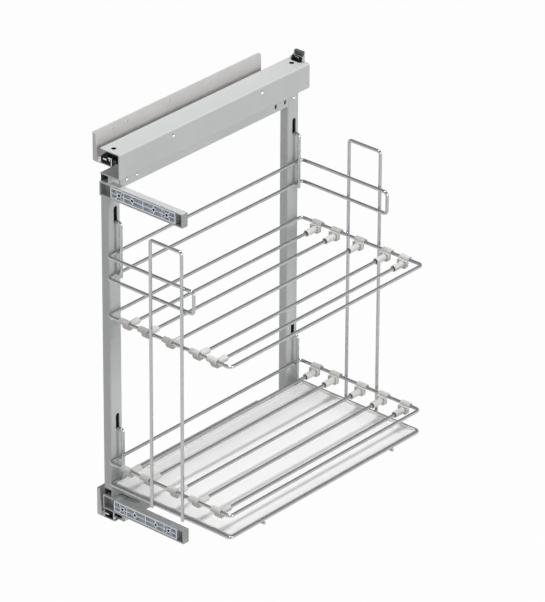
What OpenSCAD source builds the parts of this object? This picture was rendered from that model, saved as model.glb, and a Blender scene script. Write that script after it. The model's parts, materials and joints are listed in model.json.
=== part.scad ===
// Pull-out tray rack for a narrow base unit. Two profiles screw to the cabinet's side wall and
// carry ball runners. A frame rides on the runners, and a wire basket hangs in the frame's slots.
// X runs from the wall into the cabinet, Y from the front to the back and Z up, in millimetres.
// The origin lies on the wall, midway between the outer screw holes of the upper profile.

/* [Frame] */
// Depth of the moving frame, front to back
frame_depth = 398; // [360:1:480]
// Height between the top faces of the two beams
frame_height = 563; // [520:1:700]
// Gap between the cabinet wall and the frame
wall_gap = 13.5; // [12:0.5:18]
// Sheet thickness of the beams and tubes
sheet = 1.5; // [1.2:0.1:1.8]
// Width of the uprights and cross rails, away from the wall
tube_w = 16; // [15:0.5:18]
// Depth of an upright, front to back
upright_d = 23; // [20:0.5:28]
// Height of the top and bottom rails
rail_h = 28; // [24:0.5:34]
// Width of the beams
beam_w = 36; // [35:0.5:42]
// Height of the top beam
beam_h = 39; // [36:0.5:44]
// Height of the lower beam's flange
lower_flange_h = 14; // [13.5:0.5:16]
// Outside corner radius of the tubes and bent sheets
bend_r = 2.4; // [2.2:0.1:3]

/* [Wall profiles and runners] */
// Height of a wall profile
profile_h = 44; // [40:0.5:50]
// Width of a profile's bottom flange
flange_w = 44; // [42:0.5:46]
// Drop of the screw hole line below a profile's top edge
hole_drop = 8.5; // [6:0.5:12]
// First screw hole behind the profile's front end
hole_first = 39; // [30:1:45]
// Distance between the outer screw holes
hole_span = 200; // [180:1:240]
// Diameter of the screw holes
hole_d = 3.5; // [3:0.1:4.5]
// Length of the runner rails, which sets that of the wall profiles
rail_len = 337; // [320:1:345]
// Height of a runner between flange and beam web
runner_h = 20; // [19:0.5:22]
// Half of a runner's width
runner_half = 14; // [13.5:0.1:14.5]
// Diameter of the runner balls
ball_d = 4; // [3.6:0.1:4.2]

/* [Door brackets] */
// Length of a door bracket
bracket_len = 154.5; // [145:0.5:170]
// Height of a door bracket
bracket_h = 21.5; // [20:0.5:26]
// Depth of a door bracket
bracket_d = 11.3; // [10.5:0.1:14]
// Wall thickness of a bracket
bracket_t = 2; // [1.5:0.1:2.5]
// Length of a door connector
connector_len = 121; // [115:0.5:124]
// Screw holes of a connector, outer pair
connector_outer = 88.6; // [84:0.2:94]
// Screw holes of a connector, inner pair
connector_inner = 40; // [34:0.5:46]
// Diameter of a connector's screw holes
connector_hole = 4.2; // [3.5:0.1:4.6]

/* [Basket] */
// Diameter of the basket wire
wire_d = 5; // [4:0.1:5.2]
// Width of the basket rings between wire centres
ring_w = 227.5; // [215:0.5:240]
// Depth of the basket rings between wire centres
ring_d = 409; // [380:1:480]
// Drop of the upper divider ring below the side rails
ring_drop = 58.5; // [45:0.5:70]
// Drop of the tray ring below the lower divider ring
tray_drop = 35; // [32:0.5:40]
// Corner radius of the rings
ring_r = 6; // [5.5:0.5:12]
// Width of an end loop between its legs
loop_w = 58; // [50:1:64]
// Distance between the two side rails
rail_gap = 34; // [28:0.5:40]
// Reach of the side rails along the front and back
rail_reach = 160.5; // [145:0.5:170]

/* [Dividers] */
// Diameter of the divider rods
rod_d = 5; // [4:0.1:5.2]
// Width of a divider clip
clip_w = 16.5; // [15:0.5:18]
// Outside diameter of a clip's nose
nose_d = 9.6; // [9:0.1:11]
// Length of a clip from the ring wire to its mouth
nose_len = 26.5; // [22:0.5:30]

/* [Hidden] */
// Fits, laps and small details.
over = 1; // overrun of every cut
fit = 0.3; // running gap between pieces that move
shank_fit = 0.05; // gap round a rivet's shank
weld = 0.1; // overlap of welded wires
small_r = 0.8;

$fn = 48;

paint = [0.72, 0.735, 0.73];
warm_paint = [0.79, 0.77, 0.76];
zinc = [0.74, 0.76, 0.79];
chrome = [0.82, 0.82, 0.83];
clip_plastic = [0.79, 0.785, 0.77];
dark_plastic = [0.05, 0.05, 0.055];
panel_white = [0.96, 0.96, 0.95];

// Places along X.
ring_clear = 2.5;
hook_bend = 4;
frame_x0 = wall_gap;
frame_x1 = frame_x0 + tube_w;
beam_x1 = frame_x0 + beam_w;
runner_x = frame_x0 + beam_w / 2;
tip_x = frame_x1 - sheet - hook_bend;
ring_x0 = frame_x1 + ring_clear + wire_d / 2;
ring_x1 = ring_x0 + ring_w;
hook_x = ring_x0 + wire_d - weld;
bracket_x1 = frame_x0 + bracket_len;

// Places along Y.
ring_lead = 8.8;
rail_start = 9.6;
rail_tail = 1.4; // of the profile, behind the runner rails
bracket_lead = 2;
profile_len = rail_start + rail_len + rail_tail;
front_y = -hole_first - hole_span / 2;
back_y = front_y + frame_depth;
ring_y0 = front_y - ring_lead;
ring_y1 = ring_y0 + ring_d;
rail_y0 = front_y + rail_start;
rail_y1 = rail_y0 + rail_len;
bracket_y0 = front_y - bracket_lead;
bracket_y1 = bracket_y0 + bracket_d;

// Places along Z. The lower profile and beam lie one frame height under the upper ones.
bracket_drop = 11;
bracket_sink = 7;
profile_top = hole_drop;
profile_z0 = profile_top - profile_h;
flange_top = profile_z0 + sheet;
web_under = flange_top + runner_h;
top_z = web_under + sheet;
top_rail_z1 = top_z - beam_h;
foot_z = top_z - frame_height;
bottom_rail_z1 = foot_z + rail_h;
upper_bracket_z = top_rail_z1 - bracket_drop - bracket_h;
lower_bracket_z = foot_z - bracket_sink;

// Slots in the uprights.
slot_h = 26;
slot_fit = 1.2; // gap beside the hook's wire
slot_w = wire_d + 2 * slot_fit;
slot_off = 13;
slot_drop = 22;
lower_slot_rise = 93;
upper_slot_z = top_rail_z1 - rail_h - slot_drop - slot_h;
lower_slot_z = bottom_rail_z1 + lower_slot_rise;

// The basket's levels follow its hooks: each hook leg is welded across two wires.
lower_ring_drop = 43;
upper_rail_drop = 42.5;
lower_ring_z = lower_slot_z - lower_ring_drop;
tray_z = lower_ring_z - tray_drop;
upper_rail_z = upper_slot_z - upper_rail_drop;
lower_rail_z = upper_rail_z - rail_gap;
upper_ring_z = lower_rail_z - ring_drop;

// Shapes used by several pieces.
module rounded_rect(w, h, r) {
    translate([r, 0]) square([w - 2 * r, h]);
    translate([0, r]) square([w, h - 2 * r]);
    for (x = [r, w - r], y = [r, h - r]) translate([x, y]) circle(r);
}

module hollow_rect(w, h, r, t) {
    difference() {
        rounded_rect(w, h, r);
        translate([t, t]) rounded_rect(w - 2 * t, h - 2 * t, r - t);
    }
}

// An outline in X and Z, drawn out along Y.
module along_y(y0, y1) {
    translate([0, y1, 0]) rotate([90, 0, 0]) linear_extrude(y1 - y0) children();
}

// An outline in Y and Z, drawn out along X.
module along_x(x0, x1) {
    translate([x0, 0, 0]) rotate([90, 0, 90]) linear_extrude(x1 - x0) children();
}

module wire_x(x0, x1, y, z) {
    translate([x0, y, z]) rotate([0, 90, 0]) cylinder(d = wire_d, h = x1 - x0);
}

module wire_y(y0, y1, x, z) {
    translate([x, y0, z]) rotate([-90, 0, 0]) cylinder(d = wire_d, h = y1 - y0);
}

module wire_z(z0, z1, x, y) {
    translate([x, y, z0]) cylinder(d = wire_d, h = z1 - z0);
}

// A quarter turn of wire, flat, starting at the given angle round its centre.
module flat_bend(x, y, z, r, start) {
    translate([x, y, z]) rotate([0, 0, start])
        rotate_extrude(angle = 90) translate([r, 0]) circle(d = wire_d);
}

// The same quarter turn stood up in the plane of X and Z.
module upright_bend(x, y, z, r, start) {
    translate([x, y, z]) rotate([90, 0, 0]) rotate([0, 0, start])
        rotate_extrude(angle = 90) translate([r, 0]) circle(d = wire_d);
}

// Wall profiles: a web on the wall, a flange under the runner and a return at the front.
lip_low_w = 9;
lip_top_w = 5;
web_corner = 7;
front_relief_w = 10; // of the flange's outer corner
front_relief_d = 8.6;
second_hole = 29; // from the first hole
third_hole = 115; // from the first hole
shank_d = 4;
head_d = 7;
head_h = 1;
crown_h = 0.4;
rivet_shares = [0.14, 0.5, 0.86]; // of the rail's length

module profile_section() {
    intersection() {
        hollow_rect(2 * flange_w, 2 * profile_h, bend_r, sheet);
        square([flange_w, profile_h]);
    }
}

module profile_lip() {
    intersection() {
        polygon([[0, 0], [lip_low_w, 0], [lip_top_w, profile_h - sheet], [0, profile_h - sheet]]);
        rounded_rect(2 * flange_w, 2 * profile_h, bend_r);
    }
}

// The profile seen from the side, with its back top corner rounded.
module profile_side() {
    square([profile_len - web_corner, profile_h]);
    square([profile_len, profile_h - web_corner]);
    translate([profile_len - web_corner, profile_h - web_corner]) circle(web_corner);
}

module rivet_holes(z0, z1) {
    for (share = rivet_shares) translate([runner_x, rail_y0 + rail_len * share, z0])
        cylinder(d = shank_d + 2 * shank_fit, h = z1 - z0);
}

module wall_profile() {
    difference() {
        union() {
            intersection() {
                along_y(front_y, front_y + profile_len) translate([0, profile_z0])
                    profile_section();
                along_x(0, flange_w) translate([front_y, profile_z0]) profile_side();
            }
            along_y(front_y, front_y + sheet) translate([0, profile_z0]) profile_lip();
        }
        translate([flange_w - front_relief_w, front_y - over, profile_z0 - over])
            cube([front_relief_w + over, front_relief_d + over, sheet + 2 * over]);
        for (dy = [0, second_hole, third_hole, hole_span])
            translate([-over, front_y + hole_first + dy, 0]) rotate([0, 90, 0])
                cylinder(d = hole_d, h = sheet + 2 * over);
        rivet_holes(flange_top - sheet - over, flange_top + over);
    }
}

module upper_profile() {
    color(warm_paint) wall_profile();
}

module lower_profile() {
    color(warm_paint) translate([0, 0, -frame_height]) wall_profile();
}

// Flat-headed rivets that hold both fixed rails down on their flanges.
module profile_rivets() {
    color(zinc) for (drop = [0, frame_height], share = rivet_shares)
        translate([runner_x, rail_y0 + rail_len * share, flange_top - drop]) {
            translate([0, 0, -sheet]) cylinder(d = shank_d, h = sheet + runner_t);
            translate([0, 0, runner_t]) cylinder(d = head_d, h = crown_h);
            translate([0, 0, -sheet - head_h]) cylinder(d = head_d, h = head_h);
        }
}

// Runners: a channel on the flange, a channel under the beam and an I-shaped rail between them,
// with a row of balls in a cage on each side of each channel.
runner_t = 1.2;
channel_gap = 2.2;
channel_h = (runner_h - channel_gap) / 2;
row_rise = 3.3; // from a channel's base to its ball row
groove_depth = 0.3;
ball_fit = 0.15;
lip_reach = 1.6;
middle_t = 1.4;
middle_gap = 0.6;
ball_x = runner_half - runner_t - ball_d / 2 + groove_depth;
ball_z = runner_t + row_rise;
middle_half = ball_x - ball_d / 2 + groove_depth;
access_d = 7.3;
access_off = 2.5;
access_in = 11.6;
access_back = 15.7;
lug_len = 14;
lug_drop = 12;
lug_t = 1.2;
dome_drop = 10.3; // below the top beam's top face
dome_shares = [0.3, 0.85]; // of the rail's length
cage_t = 0.8;
cage_h = 5.2;
cage_len = 130;
balls_per_row = 8;

module grooves(z) {
    for (side = [-1, 1]) translate([side * ball_x, z]) circle(ball_d / 2 + ball_fit);
}

module channel_section() {
    difference() {
        union() {
            intersection() {
                translate([-runner_half, 0])
                    hollow_rect(2 * runner_half, 2 * runner_h, bend_r, runner_t);
                translate([-runner_half, 0]) square([2 * runner_half, channel_h]);
            }
            for (x = [-runner_half, runner_half - runner_t - lip_reach])
                translate([x, channel_h - runner_t]) square([runner_t + lip_reach, runner_t]);
        }
        grooves(ball_z);
    }
}

module middle_section() {
    difference() {
        union() {
            for (x = [-middle_half, middle_half - middle_t])
                translate([x, runner_t + middle_gap])
                    square([middle_t, runner_h - 2 * runner_t - 2 * middle_gap]);
            translate([middle_t / 2 - middle_half, runner_h / 2 - middle_t / 2])
                square([2 * middle_half - middle_t, middle_t]);
        }
        grooves(ball_z);
        grooves(runner_h - ball_z);
    }
}

module fixed_rail() {
    difference() {
        translate([runner_x, 0, flange_top]) along_y(rail_y0, rail_y1) channel_section();
        rivet_holes(flange_top - over, flange_top + runner_t + over);
    }
}

module middle_rail() {
    translate([runner_x, 0, flange_top]) along_y(rail_y0, rail_y1) middle_section();
}

// The moving rail has side lugs that reach the beam's face, each with a rivet hole.
module moving_rail() {
    lug_x0 = runner_x + runner_half - bend_r;
    lug_x1 = beam_x1 - sheet;
    difference() {
        union() {
            translate([runner_x, 0, web_under]) mirror([0, 0, 1])
                along_y(rail_y0, rail_y1) channel_section();
            for (share = dome_shares) {
                lug_y = rail_y0 + rail_len * share - lug_len / 2;
                translate([lug_x0, lug_y, web_under - runner_t])
                    cube([lug_x1 - lug_x0, lug_len, runner_t]);
                translate([lug_x1 - lug_t, lug_y, web_under - lug_drop])
                    cube([lug_t, lug_len, lug_drop]);
            }
        }
        for (share = dome_shares)
            translate([lug_x1 - lug_t - over, rail_y0 + rail_len * share, top_z - dome_drop])
                rotate([0, 90, 0]) cylinder(d = shank_d + 2 * shank_fit, h = lug_t + 2 * over);
        translate([runner_x - access_off, front_y + access_in, web_under - runner_t - over])
            cylinder(d = access_d, h = runner_t + 2 * over);
    }
}

// Cage strips with their balls. The outer pair runs in the fixed channel, the inner pair in the
// moving one.
module ball_set(row_z) {
    cage_y0 = rail_y0 + (rail_len - cage_len) / 2;
    pitch = cage_len / balls_per_row;
    for (side = [-1, 1]) translate([runner_x + side * ball_x, 0, row_z]) {
        difference() {
            translate([-cage_t / 2, cage_y0, -cage_h / 2]) cube([cage_t, cage_len, cage_h]);
            for (i = [0:balls_per_row - 1])
                translate([-cage_t, cage_y0 + pitch * (i + 1 / 2), 0]) rotate([0, 90, 0])
                    cylinder(d = ball_d + 2 * ball_fit, h = 2 * cage_t);
        }
        for (i = [0:balls_per_row - 1])
            translate([0, cage_y0 + pitch * (i + 1 / 2), 0]) sphere(d = ball_d);
    }
}

module upper_fixed_rail() {
    color(zinc) fixed_rail();
}

module lower_fixed_rail() {
    color(zinc) translate([0, 0, -frame_height]) fixed_rail();
}

module upper_middle_rail() {
    color(zinc) middle_rail();
}

module lower_middle_rail() {
    color(zinc) translate([0, 0, -frame_height]) middle_rail();
}

module upper_moving_rail() {
    color(zinc) moving_rail();
}

module lower_moving_rail() {
    color(zinc) translate([0, 0, -frame_height]) moving_rail();
}

module upper_outer_balls() {
    color(chrome) ball_set(flange_top + ball_z);
}

module upper_inner_balls() {
    color(chrome) ball_set(web_under - ball_z);
}

module lower_outer_balls() {
    color(chrome) ball_set(flange_top + ball_z - frame_height);
}

module lower_inner_balls() {
    color(chrome) ball_set(web_under - ball_z - frame_height);
}

// The top beam is a channel that opens to the wall and covers the upper runner.
module dome_holes(z) {
    for (share = dome_shares)
        translate([beam_x1 - sheet - over, rail_y0 + rail_len * share, z - dome_drop])
            rotate([0, 90, 0]) cylinder(d = shank_d + 2 * shank_fit, h = sheet + 2 * over);
}

module top_beam() {
    color(paint) difference() {
        along_y(front_y, back_y) translate([frame_x0, top_rail_z1]) intersection() {
            translate([-beam_w, 0]) hollow_rect(2 * beam_w, beam_h, bend_r, sheet);
            square([beam_w, beam_h]);
        }
        for (y = [front_y + access_in, back_y - access_back])
            translate([runner_x - access_off, y, web_under - over])
                cylinder(d = access_d, h = sheet + 2 * over);
        dome_holes(top_z);
    }
}

// The lower beam is a web over the lower runner with a short flange, cut away at the front for
// the door bracket.
module lower_beam() {
    color(paint) difference() {
        along_y(front_y, back_y) translate([frame_x0, foot_z - lower_flange_h]) intersection() {
            translate([-beam_w, -lower_flange_h])
                hollow_rect(2 * beam_w, 2 * lower_flange_h, bend_r, sheet);
            square([beam_w, lower_flange_h]);
        }
        translate([frame_x0 - over, front_y - over, lower_bracket_z])
            cube([beam_w + 2 * over, bracket_y1 - front_y + over, bracket_h]);
        dome_holes(foot_z);
    }
}

// A round-headed rivet through a wall whose outer face looks along +X.
beam_dome_d = 8;
beam_dome_h = 2.4;
frame_dome_d = 6.6;
frame_dome_h = 1.9;
tail_d = 5.4;
tail_h = 0.6;

module dome_rivet(grip, d, h) {
    ball_r = (d * d / 4 + h * h) / (2 * h);
    rotate([0, 90, 0]) rotate_extrude() {
        intersection() {
            translate([0, h - ball_r]) circle(ball_r);
            square([d, h]);
        }
        translate([0, -grip]) square([shank_d / 2, grip]);
        translate([0, -grip - tail_h]) square([tail_d / 2, tail_h]);
    }
}

module beam_rivets() {
    color(zinc) for (drop = [0, frame_height], share = dome_shares)
        translate([beam_x1, rail_y0 + rail_len * share, top_z - dome_drop - drop])
            dome_rivet(sheet + lug_t, beam_dome_d, beam_dome_h);
}

// The frame: two uprights between the beams, with a top and a bottom rail between them.
rivet_line = 18; // below the top rail's upper face
first_rivet = 36.7; // behind the frame's front
second_rivet = 56.9;
last_rivet = 10.5; // before the frame's back
first_peg = 49.7;
second_peg = 29.7;
peg_w = 4.2;
peg_h = 7;
notch_rise = 10.5;

module tall_slot(y, z, w, h) {
    translate([frame_x1 - sheet - over, y, z]) rotate([90, 0, 90])
        linear_extrude(sheet + 2 * over) {
            translate([-w / 2, w / 2]) square([w, h - w]);
            translate([0, w / 2]) circle(d = w);
            translate([0, h - w / 2]) circle(d = w);
        }
}

module face_hole(y) {
    translate([frame_x1 - sheet - over, y, top_rail_z1 - rivet_line]) rotate([0, 90, 0])
        cylinder(d = shank_d + 2 * shank_fit, h = sheet + 2 * over);
}

module upright() {
    difference() {
        translate([frame_x0, front_y, foot_z]) linear_extrude(top_rail_z1 - foot_z)
            hollow_rect(tube_w, upright_d, bend_r, sheet);
        for (z = [upper_slot_z, lower_slot_z])
            tall_slot(front_y + slot_off, z, slot_w, slot_h);
    }
}

// Each door bracket sits in a notch, and the front wall stays open above it.
module front_upright() {
    notch_d = bracket_y1 - front_y + over;
    color(paint) difference() {
        upright();
        for (z = [upper_bracket_z, lower_bracket_z]) {
            translate([frame_x0 - over, front_y - over, z])
                cube([tube_w + 2 * over, notch_d, bracket_h]);
            translate([frame_x0 + sheet, front_y - over, z + bracket_h - over])
                cube([tube_w - 2 * sheet, notch_d, notch_rise + 2 * over]);
        }
    }
}

module rear_upright() {
    color(paint) difference() {
        translate([0, frame_depth - upright_d, 0]) upright();
        face_hole(back_y - last_rivet);
    }
}

module cross_rail(z) {
    along_y(front_y + upright_d, back_y - upright_d) translate([frame_x0, z])
        hollow_rect(tube_w, rail_h, bend_r, sheet);
}

module top_rail() {
    color(paint) difference() {
        cross_rail(top_rail_z1 - rail_h);
        for (y = [first_rivet, second_rivet]) face_hole(front_y + y);
        for (y = [first_peg, second_peg])
            tall_slot(back_y - y, top_rail_z1 - rivet_line - peg_h / 2, peg_w, peg_h);
    }
}

module bottom_rail() {
    color(paint) cross_rail(foot_z);
}

module frame_rivets() {
    color(zinc) for (y = [front_y + first_rivet, front_y + second_rivet, back_y - last_rivet])
        translate([frame_x1, y, top_rail_z1 - rivet_line])
            dome_rivet(sheet, frame_dome_d, frame_dome_h);
}

// The foot plate stiffens the corner behind the lower door bracket.
foot_len = 55.5;
foot_d = 25;
foot_slot_len = 36;
foot_slot_w = 7.7;
foot_slot_in = 1.6;
foot_slot_back = 1.5;

module foot_plate() {
    color(paint) translate([frame_x1, bracket_y1, lower_bracket_z + bracket_h - sheet])
        linear_extrude(sheet) difference() {
            rounded_rect(foot_len, foot_d, small_r);
            translate([foot_slot_in, foot_slot_back])
                rounded_rect(foot_slot_len, foot_slot_w, bend_r);
        }
}

// Door brackets: trays of bent sheet that open to the front, closed at both ends.
module bracket(z) {
    inner_h = bracket_h - 2 * bracket_t;
    color(paint) translate([0, 0, z]) difference() {
        along_x(frame_x0, bracket_x1) translate([bracket_y0, 0]) intersection() {
            translate([-bracket_d, 0]) rounded_rect(2 * bracket_d, bracket_h, small_r);
            square([bracket_d, bracket_h]);
        }
        translate([frame_x0 + bracket_t, bracket_y0 - over, bracket_t])
            cube([bracket_len - 2 * bracket_t, bracket_d - bracket_t + over, inner_h]);
    }
}

module upper_bracket() {
    bracket(upper_bracket_z);
}

module lower_bracket() {
    bracket(lower_bracket_z);
}

// Die-cast door connectors: a rim, ribs and screw bosses on a thin floor.
connector_in = 20.5; // from the bracket's wall end
connector_set = 0.5; // behind the bracket's front edge
rim = 1.8;
rib = 1.3;
floor_t = 1.8;
boss_d = 7.2;

module connector_ribs(w, h) {
    translate([0, h / 2 - rib / 2]) square([w, rib]);
    translate([w / 2 - rib / 2, 0]) square([rib, h]);
    for (side = [-1, 1]) {
        translate([w / 2 + side * connector_inner / 2, h / 2]) {
            circle(d = boss_d);
            translate([-rib / 2, -h / 2]) square([rib, h]);
        }
        translate([w / 2 + side * connector_outer / 2, h / 2]) {
            circle(d = boss_d);
            for (turn = [-1, 1]) rotate(turn * 45)
                translate([-h / 2, -rib / 2]) square([h, rib]);
        }
        translate([w / 2 + side * (connector_outer / 2 - h / 2) - rib / 2, 0]) square([rib, h]);
    }
}

module connector(z) {
    w = connector_len;
    h = bracket_h - 2 * bracket_t - 2 * fit;
    depth = bracket_d - bracket_t - connector_set - fit;
    y1 = bracket_y1 - bracket_t - fit;
    color(zinc) translate([frame_x0 + connector_in, y1, z + bracket_t + fit]) difference() {
        rotate([90, 0, 0]) {
            linear_extrude(floor_t) rounded_rect(w, h, small_r);
            linear_extrude(depth) difference() {
                rounded_rect(w, h, small_r);
                difference() {
                    translate([rim, rim]) rounded_rect(w - 2 * rim, h - 2 * rim, small_r);
                    connector_ribs(w, h);
                }
            }
        }
        for (side = [-1, 1], gap = [connector_outer, connector_inner])
            translate([w / 2 + side * gap / 2, over, h / 2]) rotate([90, 0, 0])
                cylinder(d = connector_hole, h = depth + 2 * over);
    }
}

module upper_connector() {
    connector(upper_bracket_z);
}

module lower_connector() {
    connector(lower_bracket_z);
}

// Runner ends: black mouldings that close the front of each runner, with windows on the rails.
end_in = 0.3;
end_t = 7.7;
end_lift = 0.6;
end_slope_w = 12.7;
end_slope_h = 8.7;
end_short_w = 20;
window_x = 5.8; // from the frame's wall side
window_w = 6.8;
window_rise = 5;
window_h = 4.6;
latch_x = 19.6;
latch_w = 1.9;
latch_h = 11.5;
eye_x = 27.5;
eye_d = 4.6;
eye_rise = 8.6;

module end_windows() {
    translate([frame_x0 + window_x, flange_top + window_rise])
        rounded_rect(window_w, window_h, small_r);
    translate([frame_x0 + latch_x, flange_top + 2 * end_lift])
        rounded_rect(latch_w, latch_h, small_r);
}

module upper_runner_end() {
    x0 = frame_x0 + sheet;
    x1 = beam_x1 - sheet;
    z0 = flange_top + end_lift;
    color(dark_plastic) along_y(front_y + end_in, front_y + end_in + end_t) difference() {
        polygon([
            [x0, z0], [x1 - end_slope_w, z0], [x1, z0 + end_slope_h], [x1, web_under],
            [x0, web_under]
        ]);
        end_windows();
        translate([frame_x0 + eye_x, flange_top + eye_rise]) circle(d = eye_d);
    }
}

// The lower one is narrower and stops under the door bracket.
module lower_runner_end() {
    z0 = flange_top + end_lift;
    z1 = lower_bracket_z + frame_height;
    color(dark_plastic) translate([0, 0, -frame_height])
        along_y(front_y + end_in, front_y + end_in + end_t) difference() {
            translate([frame_x0 + sheet, z0]) square([end_short_w, z1 - z0]);
            translate([frame_x0 + window_x, flange_top + window_rise])
                rounded_rect(window_w, window_h, small_r);
        }
}

// The catch at the back of the top beam, with its sprung bow.
catch_x = 13.5; // from the frame's wall side
catch_in = 0.3;
catch_w = 12;
catch_d = 6;
catch_h = 9;
catch_wall = 2;
bow_x = 11;
bow_w = 17;
bow_in = 1.3;
bow_d = 4;
bow_h = 17;
bow_t = 2;
bow_r = 3.5;
bow_foot = 7;
bow_foot_z = 4;

module rear_catch() {
    color(dark_plastic) difference() {
        along_y(back_y - catch_in - catch_d, back_y - catch_in)
            translate([frame_x0 + catch_x, top_z]) difference() {
                rounded_rect(catch_w, catch_h, small_r);
                translate([catch_wall, catch_wall])
                    rounded_rect(catch_w - 2 * catch_wall, catch_h - 2 * catch_wall, small_r);
            }
    }
    color(dark_plastic) translate([frame_x0 + catch_x, back_y - catch_in - catch_wall, top_z])
        cube([catch_w, catch_wall, bow_h - bow_t - small_r]);
}

module catch_bow() {
    color(chrome) along_y(back_y - bow_in - bow_d, back_y - bow_in)
        translate([frame_x0 + bow_x, top_z]) {
            difference() {
                intersection() {
                    translate([0, -bow_h]) hollow_rect(bow_w, 2 * bow_h, bow_r, bow_t);
                    square([bow_w, bow_h]);
                }
                square([bow_t, bow_foot_z]);
            }
            translate([-bow_foot, bow_foot_z]) square([bow_foot + bow_t, bow_t]);
        }
}

// The basket: four sets of wire, welded where they cross.
rail_r = 6;
rail_end_r = 6;
loop_share = 0.3723; // of the ring's width, from its wall side to the loop's first leg
loop_rise = 57;
loop_foot = 3.6;
loop_r = 4.5;
leg_end = 3;
tip_len = 10;

module wire_ring(z) {
    wire_x(ring_x0 + ring_r, ring_x1 - ring_r, ring_y0, z);
    wire_x(ring_x0 + ring_r, ring_x1 - ring_r, ring_y1, z);
    wire_y(ring_y0 + ring_r, ring_y1 - ring_r, ring_x0, z);
    wire_y(ring_y0 + ring_r, ring_y1 - ring_r, ring_x1, z);
    flat_bend(ring_x1 - ring_r, ring_y1 - ring_r, z, ring_r, 0);
    flat_bend(ring_x0 + ring_r, ring_y1 - ring_r, z, ring_r, 90);
    flat_bend(ring_x0 + ring_r, ring_y0 + ring_r, z, ring_r, 180);
    flat_bend(ring_x1 - ring_r, ring_y0 + ring_r, z, ring_r, 270);
}

module upper_ring() {
    color(chrome) wire_ring(upper_ring_z);
}

module lower_ring() {
    color(chrome) wire_ring(lower_ring_z);
}

module tray_ring() {
    color(chrome) wire_ring(tray_z);
}

// One closed wire runs along the wall side twice and turns round at the front and the back.
module side_rails() {
    end_x = ring_x0 + rail_reach;
    color(chrome) {
        for (z = [lower_rail_z, upper_rail_z]) {
            wire_y(ring_y0 + rail_r, ring_y1 - rail_r, ring_x0, z);
            flat_bend(ring_x0 + rail_r, ring_y1 - rail_r, z, rail_r, 90);
            flat_bend(ring_x0 + rail_r, ring_y0 + rail_r, z, rail_r, 180);
            for (y = [ring_y0, ring_y1]) wire_x(ring_x0 + rail_r, end_x - rail_end_r, y, z);
        }
        for (y = [ring_y0, ring_y1]) {
            wire_z(lower_rail_z + rail_end_r, upper_rail_z - rail_end_r, end_x, y);
            upright_bend(end_x - rail_end_r, y, upper_rail_z - rail_end_r, rail_end_r, 0);
            upright_bend(end_x - rail_end_r, y, lower_rail_z + rail_end_r, rail_end_r, 270);
        }
    }
}

module end_loop(y) {
    x0 = ring_x0 + ring_w * loop_share;
    x1 = x0 + loop_w;
    top = upper_rail_z + loop_rise;
    foot = tray_z - loop_foot;
    wire_z(foot, top - loop_r, x0, y);
    wire_z(foot, top - loop_r, x1, y);
    upright_bend(x0 + loop_r, y, top - loop_r, loop_r, 90);
    upright_bend(x1 - loop_r, y, top - loop_r, loop_r, 0);
    wire_x(x0 + loop_r, x1 - loop_r, y, top);
}

module front_loop() {
    color(chrome) end_loop(ring_y0 - wire_d + weld);
}

module rear_loop() {
    color(chrome) end_loop(ring_y1 + wire_d - weld);
}

// A hook turns in through its slot and down behind the upright's face.
module hook(y, foot, slot_z) {
    z = slot_z + wire_d / 2 + weld;
    wire_z(foot, z - hook_bend, hook_x, y);
    upright_bend(hook_x - hook_bend, y, z - hook_bend, hook_bend, 0);
    wire_x(tip_x + hook_bend, hook_x - hook_bend, y, z);
    upright_bend(tip_x + hook_bend, y, z - hook_bend, hook_bend, 90);
    wire_z(z - tip_len, z - hook_bend, tip_x, y);
}

module upper_hooks() {
    color(chrome) for (y = [front_y + slot_off, back_y - upright_d + slot_off])
        hook(y, lower_rail_z - wire_d / 2 - leg_end, upper_slot_z);
}

module lower_hooks() {
    color(chrome) for (y = [front_y + slot_off, back_y - upright_d + slot_off])
        hook(y, tray_z - leg_end, lower_slot_z);
}

// Two bars under the tray ring carry the tray panel.
bar_shares = [0.17, 0.85]; // of the ring's depth
bar_end = 3;
panel_gap = 0.6;
panel_t = 2;
panel_h = 5.9;

module tray_bars() {
    color(chrome) for (share = bar_shares)
        wire_x(ring_x0 - bar_end, ring_x1 + bar_end, ring_y0 + ring_d * share,
               tray_z - wire_d + weld);
}

// The panel lies inside the ring, clear of the hook legs on the wall side.
module tray_panel() {
    inset = wire_d / 2 + panel_gap;
    x0 = hook_x + inset;
    w = ring_x1 - inset - x0;
    d = ring_d - 2 * inset;
    r = ring_r - inset;
    color(panel_white)
        translate([x0, ring_y0 + inset, tray_z - wire_d / 2 + weld]) difference() {
            linear_extrude(panel_h) rounded_rect(w, d, r);
            translate([panel_t, panel_t, panel_t]) linear_extrude(panel_h)
                rounded_rect(w - 2 * panel_t, d - 2 * panel_t, r - panel_t);
        }
}

// Dividers: a rod between two clips that snap over a ring's front and back wires.
upper_rod_shares = [0.1398, 0.2976, 0.4958, 0.7165, 0.8615]; // of the ring's width
lower_rod_shares = [0.1437, 0.3037, 0.5270, 0.7073, 0.8905];
rod_drop = 6.4;
rod_fit = 0.2;
saddle_in = wire_d / 2 + fit;
saddle_t = 2.2;
saddle_r = saddle_in + saddle_t;
lip_low = 1.5; // of the saddle, below the wire's axis
leg_t = 5.2;
leg_d = 6.2;
leg_rim = 1.6;
leg_long = 12;
leg_corner = 4;
bump_in = 0.2;
bump_drop = 4.2;
bore_start = 7;
mouth_d = 7.4;
mouth_len = 2;
root_more = 1.4; // of the nose's diameter at the leg
root_len = 3.5;

// The clip's section, with the ring wire at its origin and the nose side at +Y.
module clip_section() {
    difference() {
        union() {
            intersection() {
                circle(saddle_r);
                translate([-saddle_r, 0]) square([2 * saddle_r, saddle_r]);
            }
            translate([-saddle_r, -lip_low]) square([saddle_t, lip_low]);
            translate([saddle_in + bump_in, -bump_drop]) circle(small_r);
        }
        circle(saddle_in);
    }
}

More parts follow.
